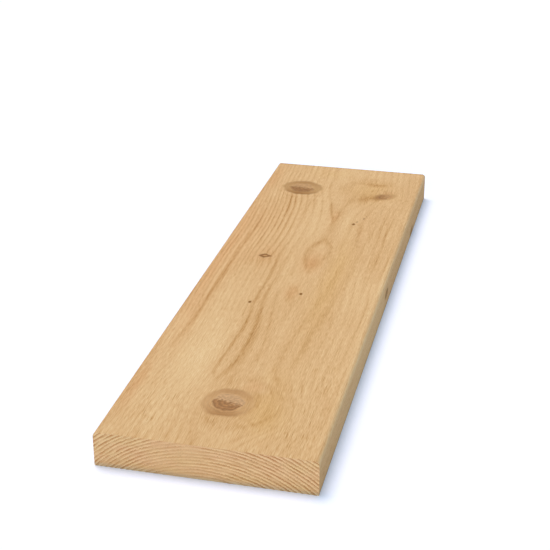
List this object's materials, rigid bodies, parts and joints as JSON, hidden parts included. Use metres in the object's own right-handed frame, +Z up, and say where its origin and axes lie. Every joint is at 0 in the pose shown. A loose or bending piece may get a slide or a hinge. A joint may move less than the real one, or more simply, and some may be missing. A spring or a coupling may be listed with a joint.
{
  "type": "timber plank",
  "caption": "Flat softwood plank of rectangular section, planed, with rounded upper edges and square cross-cut ends; building stock for boards, shelves and walkways.",
  "frame": {"origin": "centre of the underside, on the surface that the plank lies on", "axes": "+X across the width, +Y along the length from the near end to the far end, +Z up through the thickness"},
  "size_m": [0.195, 0.685, 0.033],
  "materials": {
    "softwood": "matte"
  },
  "bodies": {
    "root": {"plank": "softwood"}
  },
  "joints": []
}
